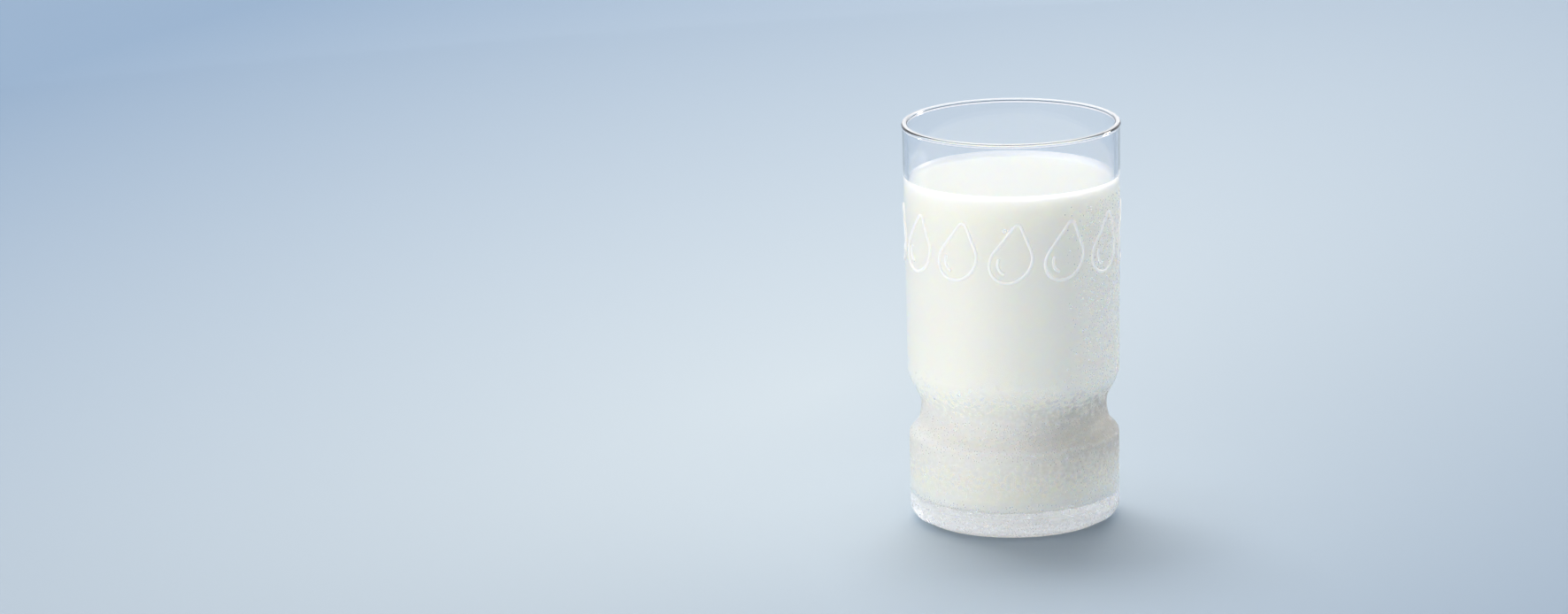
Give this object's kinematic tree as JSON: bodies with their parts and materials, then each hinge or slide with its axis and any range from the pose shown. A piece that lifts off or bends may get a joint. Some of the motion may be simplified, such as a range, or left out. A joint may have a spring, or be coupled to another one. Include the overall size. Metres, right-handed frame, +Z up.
{
  "type": "glass of milk",
  "caption": "Tall clear drinking glass with a waist, a rounded lower bulge and a raised band of drop outlines, filled with milk to a little under the rim.",
  "frame": {"origin": "centre of the flat ring the glass stands on", "axes": "+Z up along the glass's axis; -Y faces the viewer, +X to the viewer's right"},
  "size_m": [0.066, 0.066, 0.1225],
  "materials": {
    "clear_glass": "clear soda-lime glass, fire-polished, with fine condensation outside",
    "milk": "opaque white milk, glossy wet surface"
  },
  "bodies": {
    "root": {"glass_tumbler": "clear_glass", "milk": "milk"}
  },
  "joints": []
}
